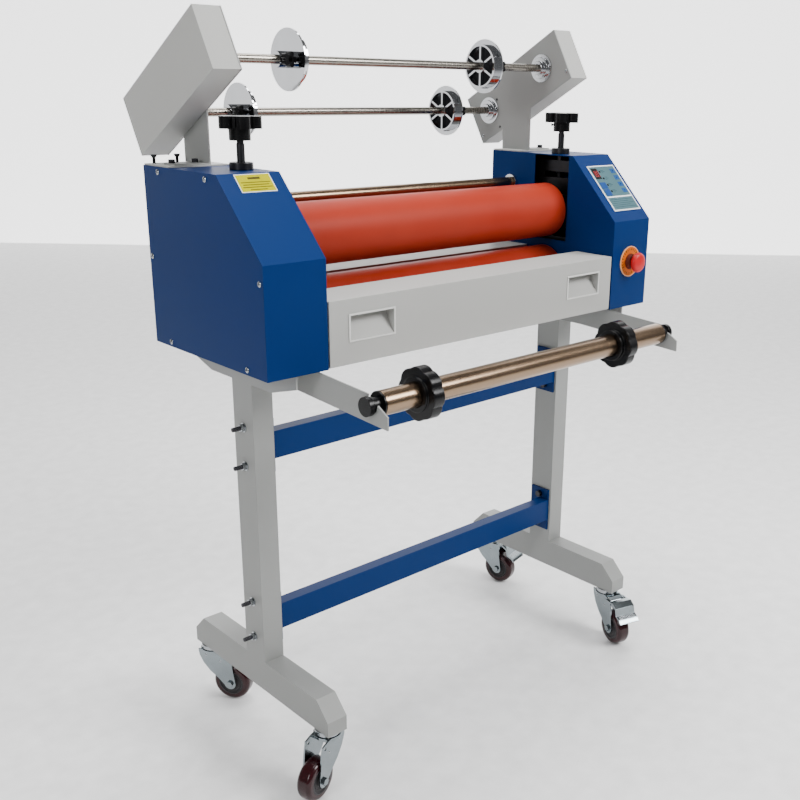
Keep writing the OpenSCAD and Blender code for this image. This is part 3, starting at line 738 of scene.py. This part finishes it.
def pan_head(d, high):
    """A domed head with a cross recess and a plain shank behind it."""
    r = d / 2
    dome = ((-8, 0), (-8, d * 0.25), (0, d * 0.25), (0, r), (high * 0.4, r), (high * 0.75, r * 0.8))
    made = lathe(dome + ((high * 0.95, r * 0.45), (high, 0)), FLAT, 32)
    arm, deep = r * 0.58, high * 0.5
    flute = r * 0.13
    return cut(
        made,
        slab((-arm, -flute, deep), (arm, flute, high + 1), FLAT, 0),
        slab((-flute, -arm, deep), (flute, arm, high + 1), FLAT, 0),
    )


spots = [facing(place(s * PANEL_FACE, y, z), (s, 0, 0)) for s in SIDES for y, z in PANEL_SCREWS]
screws = repeated(pan_head(9, 2.5), spots)
settle(screws, "panel_screws", "fasteners", ZINC, stands_for=("fasteners",))

spots = [facing(place(s * BOX_FACE, y, z), (-s, 0, 0)) for s in SIDES for y, z in BOX_SCREWS]
screws = repeated(pan_head(6, 2), spots)
settle(screws, "box_screws", "fasteners", ZINC, stands_for=("fasteners",))
spots = [facing(place(s * BOX_FACE, y, z), (-s, 0, 0)) for s in SIDES for y, z in SMALL_SCREWS]
screws = repeated(pan_head(5, 1.6), spots)
settle(screws, "box_screws_small", "fasteners", BLACK_STEEL, stands_for=("fasteners",))

cap = lathe(((-5, 0), (-5, 3.8), (0, 3.8), (0, 5.4), (5.3, 5.5), (6, 4.8), (6, 0)), FLAT, 40)
cap = cut(cap, hexagon(4, 5.2, Matrix.Translation((0, 0, 3 * MM))))
spots = [facing(place(s * x, 290, 303), (0, 0, 1)) for s in SIDES for x in (402, 444)]
settle(repeated(cap, spots), "post_bolts", "fasteners", BLACK_STEEL,
       stands_for=("fasteners",))

flat = lathe(((9, 0), (9, 2.8), (12, 5), (13.6, 5), (14, 4.6), (14, 0)), FLAT, 32)
flat = cut(flat, slab((-6, -0.6, 13), (6, 0.6, 15), FLAT, 0))
shank = thread(21, 5.6, Matrix.Translation((0, 0, -12 * MM)), 1.0)
spots = [facing(place(s * x, 336, 300.5), (0, 0, 1)) for s in SIDES for x in (409, 451)]
settle(repeated(joined([flat, shank]), spots), "lid_screws", "fasteners", BLACK_STEEL,
       stands_for=("fasteners",))

bolts, nuts = [], []
for s in SIDES:
    for z in BEAM_HEIGHTS:
        bolts.append(hexagon(8, 13, facing(place(s * BOLT_FROM, LEG_Y, z), (s, 0, 0))))
        bolts.append(rod(54, 7.9, facing(place(s * SHANK_FROM, LEG_Y, z), (s, 0, 0)), steps=24))
        bolts.append(thread(15, 8, facing(place(s * THREAD_FROM, LEG_Y, z), (s, 0, 0))))
        washer = ((0, 4.1), (0, 8.5), (1.6, 8.5), (1.6, 4.1), (0, 4.1))
        nuts.append(lathe(washer, facing(place(s * NUT_FROM, LEG_Y, z), (s, 0, 0)), 40))
        nuts.append(hexagon(6.5, 12.2, facing(place(s * (NUT_FROM + 1.6), LEG_Y, z), (s, 0, 0))))
settle(joined(bolts), "beam_bolts", "fasteners", BLACK_STEEL, stands_for=("fasteners",))
settle(joined(nuts), "beam_nuts", "fasteners", ZINC, stands_for=("fasteners",))
print("screws done")

# %% [markdown]
# ## Control panel
# The panel lies on the slope of the right cover. Its film is one sheet printed in zones: a pale
# border, a dark window with a three-digit display, four lamps, four keys on the right and a pair of
# pads on the left. Lettering is left out, and short strokes stand in for it.

# %% Control panel
KNEE, RUN, RISE = 176.4, 117.4, 298 - 176.4
LEAN = math.atan2(RUN, RISE)
SLOPE = Matrix.Translation(place(0, 0, KNEE)) @ Matrix.Rotation(math.pi / 2 - LEAN, 4, "X")


def tile(x0, s0, x1, s1, low, high, rounding=0.15):
    """A flat piece on the slope: across, up the slope, and its two heights."""
    return slab((x0, s0, low), (x1, s1, high), SLOPE, rounding)


def printed(parts, name, material):
    """Printed zones, joined and set on the panel."""
    return settle(joined(parts), name, "control_panel", material, stands_for=("control_panel",))


printed([tile(373, 25, 457.5, 140, 0, 1.2, 0.4)], "panel_border", WHITE)
fields = [tile(376, 61.5, 454.5, 137, 1.1, 1.35), tile(376, 28, 454.5, 58.2, 1.1, 1.35)]
printed(fields, "panel_fields", FILM)
printed([tile(379, 106, 396.5, 133, 1.3, 1.9, 0.3)], "panel_window", DARK)

strokes = []
for x in (382.2, 387.0, 391.8):
    for level in (111.5, 118.5, 125.5):
        strokes.append(tile(x, level, x + 3.0, level + 0.8, 1.85, 1.98, 0))
    for level in (112.6, 119.6):
        strokes.append(tile(x - 0.5, level, x + 0.2, level + 5.6, 1.85, 1.98, 0))
        strokes.append(tile(x + 2.8, level, x + 3.5, level + 5.6, 1.85, 1.98, 0))
printed(strokes, "panel_digits", GLOW)

LAMPS = (124, 107, 90, 74)
lamps = [rod(0.6, 5.2, SLOPE @ Matrix.Translation((401.6 * MM, s * MM, 1.3 * MM)), 0.15, 20) for s in LAMPS]
printed(lamps, "panel_lamps", DARK)
marks = []
for s in LAMPS:
    for i, wide in enumerate((9, 12, 6)):
        marks.append(tile(406, s + 2.6 - i * 3, 406 + wide, s + 3.4 - i * 3, 1.3, 1.42, 0))
for i in range(5):
    marks.append(tile(381, 52.5 - i * 4.6, 449 - i % 2 * 14, 53.2 - i * 4.6, 1.3, 1.42, 0))
printed(marks, "panel_marks", moulded("faded_print", (0.003, 0.02, 0.04), 0.4, 0.02, shine=0.1))

keys = [tile(437, s - 5.4, 451, s + 5.6, 1.3, 1.75, 0.4) for s in LAMPS]
pads = [tile(379.5, s, 397.5, s + 16.2, 1.3, 1.75, 0.4) for s in (63.5, 81)]
printed(keys, "panel_keys", moulded("key_blue_print", (0.004, 0.06, 0.22), 0.4, 0.03, shine=0.15))
printed(pads, "panel_pads", KEY_BLUE)
arrows = [rod(0.15, 4, SLOPE @ Matrix.Translation((444 * MM, s * MM, 1.7 * MM)), 0.05, 3) for s in LAMPS]
printed(arrows, "panel_arrows", DARK)
print("control panel done")

# %% [markdown]
# ## Notice on the left cover
# A yellow notice sits on the left slope. Its wording is left out: plain strokes show where the
# lines run.

# %% Notice
notice = tile(-437, 132, -374, 167, 0.02, 0.30, 0.05)
settle(notice, "notice_edge", "cover_left", WHITE)
notice = tile(-435.6, 133.4, -375.4, 165.6, 0.25, 0.36, 0.04)
settle(notice, "notice_field", "cover_left", LABEL)
lines = [tile(-416, 156.6, -394, 160.6, 0.34, 0.42, 0)]
for i, (left, right) in enumerate(((-431, -379), (-429, -383), (-431, -379), (-420, -390))):
    lines.append(tile(left, 150 - i * 4.6, right, 151.4 - i * 4.6, 0.34, 0.42, 0))
settle(joined(lines), "notice_lines", "cover_left", INK)
print("notice done")

# %% [markdown]
# ## Emergency stop
# A mushroom head pulls the eye, so it gets a real turned profile: a skirt, a rounded rim and a
# slightly domed face. The ring behind it is an orange disc with a pale rim, and a row of dark
# strokes stands in for its lettering.

# %% Emergency stop
STOP = facing(place(408.5, 0, 93.6), (0, -1, 0))
ring = lathe(((0, 0), (0, 30.4), (1.0, 30.6), (1.5, 29.8), (1.5, 0)), STOP, 96)
settle(ring, "stop_ring", "estop_base", YELLOW, stands_for=("estop_base",))
rim = lathe(((0, 29.9), (0, 31), (1.6, 31), (2, 30.6), (1.9, 29.6), (1.4, 29.4), (0, 29.9)), STOP, 96)
pale_yellow = moulded("pale_rim_plastic", (0.85, 0.46, 0.20), 0.3, 0.03)
settle(rim, "stop_rim", "estop_base", pale_yellow, stands_for=("estop_base",))
ticks = []
for i in range(26):
    turn = math.radians(i * 360 / 26)
    wide = 1.1 if i % 3 else 1.9
    spot = STOP @ Matrix.Rotation(turn, 4, "Z")
    ticks.append(slab((22.6, -wide, 1.4), (26.4, wide * 0.4, 1.62), spot, 0))
settle(joined(ticks), "stop_marks", "estop_base", INK, stands_for=("estop_base",))
# The neck's dark red-brown is painted shade under the mushroom.
neck = lathe(((1.4, 6.2), (1.4, 16), (3, 16), (9, 14.5), (10, 13.5), (10, 6.2), (1.4, 6.2)), STOP, 64)
back = rod(19, 22, facing(place(408.5, 20, 93.6), (0, -1, 0)), 0.5)
case = slab((-15, -20, -48), (15, 20, -18), STOP, 1)
settle(neck, "stop_neck", "estop_base", SHADED_NECK, stands_for=("estop_base",))
settle(joined([back, case]), "stop_block", "estop_base", BLACK,
       stands_for=("estop_base",))
head = ((-5, 0), (-5, 6), (16, 6), (16, 15.6), (16.6, 17.2), (17.8, 18.8), (19.4, 19.8), (21, 20),
        (23, 19.8), (24.8, 19.1), (26.2, 18), (27.4, 16.2), (28.2, 13.4), (28.9, 8.5), (29.3, 4), (29.4, 0))
settle(lathe(head, STOP, 96), "stop_mushroom", "estop_button", RED, stands_for=("estop_button",))
print("emergency stop done")

# %% [markdown]
# ## Knobs
# The pressure knobs, the thumb screws and the take-up wheels are black mouldings. Their lobes get a
# generous rounding, and the steel that carries them is a separate bright piece.

# %% Pressure knobs
KNOB_FROM = UNDER + 0.3425
for word, s in (("left", -1), ("right", 1)):
    node = "handwheel_" + word
    knob = drop(copy_of(node), lambda co: co.z < KNOB_FROM)
    bevel(knob, 0.0016, 3, 50)
    settle(knob, "pressure_knob_" + word, node, BLACK, stands_for=(node,), smooth=40)
    base = facing(place(s * 384, 177, 0), (0, 0, 1))
    screw = [
        thread(42, 12, base @ Matrix.Translation((0, 0, 222 * MM)), 1.75),
        rod(74.5, 13, base @ Matrix.Translation((0, 0, 264 * MM)), 0.8),
        rod(6, 11, base @ Matrix.Translation((0, 0, 338 * MM)), 0.3),
    ]
    settle(joined(screw), "pressure_screw_" + word, node, BLACK_STEEL,
           stands_for=(node,))
print("pressure knobs done")

# %% Take-up wheels and thumb screws
for word in ("left", "right"):
    edged("takeup_wheel_" + word, BLACK, 0.0016, 3, 50)
STATIONS = (("front_left", -247, 239.5, 467), ("front_right", 218, 239.5, 467),
            ("rear_left", -253.5, 389.4, 379), ("rear_right", 255, 389.4, 379))
STUD_OUT, GRIP_FROM = 15, 0.0144
for word, x, y, z in STATIONS:
    away = -1 if x < 0 else 1
    node = "thumb_knob_" + word
    centre = place(x + away * STUD_OUT, y, z)
    face = centre.y - GRIP_FROM
    knob = drop(copy_of(node), lambda co: co.y > face)
    bevel(knob, 0.0011, 2, 50)
    settle(knob, node + "_grip", node, BLACK, stands_for=(node,), smooth=40)
    stud = facing(centre, (0, -1, 0))
    parts = [thread(12, 6, stud @ Matrix.Translation((0, 0, 8 * MM)), 1.0),
             rod(1.0, 9, stud @ Matrix.Translation((0, 0, 30 * MM)), 0.2)]
    settle(joined(parts), node + "_stud", node, STEEL, stands_for=(node,))
print("wheels and thumb screws done")

# %% [markdown]
# ## Core discs
# The discs are die-cast and chromed. The cast edges are soft, three low pads stand on each ring to
# grip a cardboard core, and a blackened ring on the floor between the spokes is painted shade.

# %% Core discs
for word, x, y, z in STATIONS:
    node = "disc_" + word
    open_way = 1 if x < 0 else -1
    disc = bevel(copy_of(node), 0.0007, 2, 40)
    settle(disc, node + "_casting", node, CHROME, stands_for=(node,), smooth=40)
    hub = facing(place(x, y, z), (open_way, 0, 0))
    pads = []
    for i in range(3):
        spot = hub @ Matrix.Rotation(math.radians(120 * i + 30), 4, "Z")
        pads.append(slab((39.8, -5, 5), (41.8, 5, 12), spot, 0.6))
    settle(joined(pads), node + "_pads", node, CHROME, stands_for=(node,))
    # The thin dark ring between the spokes is painted shade and painted dark reflection for the hollow of
    # the disc.
    painted_shade_profile = ((3.05, 12.8), (3.05, 36.7), (3.3, 36.7), (3.3, 12.8), (3.05, 12.8))
    painted_shade_ring = lathe(painted_shade_profile, hub, 64)
    settle(painted_shade_ring, node + "_floor", node, BLACK_STEEL, stands_for=(node,))
print("core discs done")

# %% [markdown]
# ## Casters
# Each caster turns on its own stem, so its pieces are placed by its heading. The wheel is a dark rim
# with stepped rings and a cast tyre round it. The fork is pressed steel with two dimples on each
# cheek, and the braked ones carry a pedal with a ribbed lip.

# %% Casters
AXLE, TRAIL, CHEEK = -712.5, 40, 19.5
LIP_AT, LIP_LEAN = (75.5, 0, -666.6), 24.5
CASTERS = (("front_left", -386, -15, 198), ("front_right", 386, -15, 253),
           ("back_left", -386, 365, 303), ("back_right", 386, 365, 284))
rim_profile = [(-14.6, 4.1), (-15, 5), (-15, 9.4), (-14.4, 10.2), (-12.2, 11.4), (-12, 12.4),
               (-12, 15.2), (-13.1, 15.8), (-13.1, 17.6), (-12, 18.2), (-12, 21.4), (-12.6, 22.4),
               (-14.6, 23.2), (-15, 24), (-14.8, 25.6)]
rim_profile += [(-along, radius) for along, radius in reversed(rim_profile)]
rim_profile.append(rim_profile[0])
tyre_profile = [(-14.7, 25.4), (-14.6, 31), (-14.0, 32.6), (-12.9, 34.4), (-11.2, 36.0), (-9.2, 37.0),
                (-7, 37.5)]
tyre_profile += [(-along, radius) for along, radius in reversed(tyre_profile)]
tyre_profile.append(tyre_profile[0])

for word, x, y, heading in CASTERS:
    turn = Matrix.Translation(place(x, y, 0)) @ Matrix.Rotation(math.radians(heading), 4, "Z")
    hub = turn @ Matrix.Translation((TRAIL * MM, 0, AXLE * MM)) @ Matrix.Rotation(math.pi / 2, 4, "X")
    wheel = "wheel_" + word
    settle(lathe(rim_profile, hub, 72), wheel + "_rim", wheel, RIM, stands_for=(wheel,), smooth=30)
    settle(lathe(tyre_profile, hub, 96), wheel + "_tyre", wheel, TYRE, stands_for=(wheel,), smooth=50)
    fork = "fork_" + word
    bevel_fork = bevel(copy_of(fork), 0.0006, 2, 40)
    settle(bevel_fork, fork + "_pressing", fork, FORKS, stands_for=(fork,), smooth=40)
    dimples = []
    for s in SIDES:
        outward = turn.to_3x3() @ Vector((0, s, 0))
        for along, height in ((-8, -654), (22, -664)):
            spot = facing(turn @ (Vector((along, s * CHEEK, height)) * MM), outward)
            dimples.append(lathe(((-0.5, 0), (-0.5, 2.6), (0, 2.6), (0.7, 1.8), (1.0, 0)), spot, 24))
    settle(joined(dimples), fork + "_rivets", fork, ZINC, stands_for=(fork,))

edged("caster_stems", ZINC, 0.0008, 2, 40)
for word, x, y, heading in (CASTERS[1], CASTERS[3]):
    node = "brake_" + word
    edged(node, FORKS, 0.0007, 2, 40)
    turn = Matrix.Translation(place(x, y, 0)) @ Matrix.Rotation(math.radians(heading), 4, "Z")
    lip = turn @ Matrix.Translation(Vector(LIP_AT) * MM)
    lip = lip @ Matrix.Rotation(math.radians(LIP_LEAN), 4, "Y")
    ribs = [slab((1.2 + i * 2.4, -20, 0.1), (2.3 + i * 2.4, 20, 0.7), lip, 0.2) for i in range(4)]
    settle(joined(ribs), node + "_ribs", node, ZINC, stands_for=(node,))
print("casters done")

# %% [markdown]
# ## Mains inlet
# The socket in the back of the right cover has three flat pins in its recess.

# %% Inlet pins
INLET_X = 430
CORNER = Matrix.Translation(place(0, 0, 0))
pins = []
for x, z in ((INLET_X - 7, 58), (INLET_X + 7, 58), (INLET_X, 63)):
    pins.append(slab((x - 1, 339, z - 2), (x + 1, 345.4, z + 2), CORNER, 0.3))
settle(joined(pins), "inlet_pins", "power_unit", ZINC, stands_for=("power_unit",))

# %% Size and finish
LOW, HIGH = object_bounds()
print("scene size:", [round(b - a, 4) for a, b in zip(LOW, HIGH)])
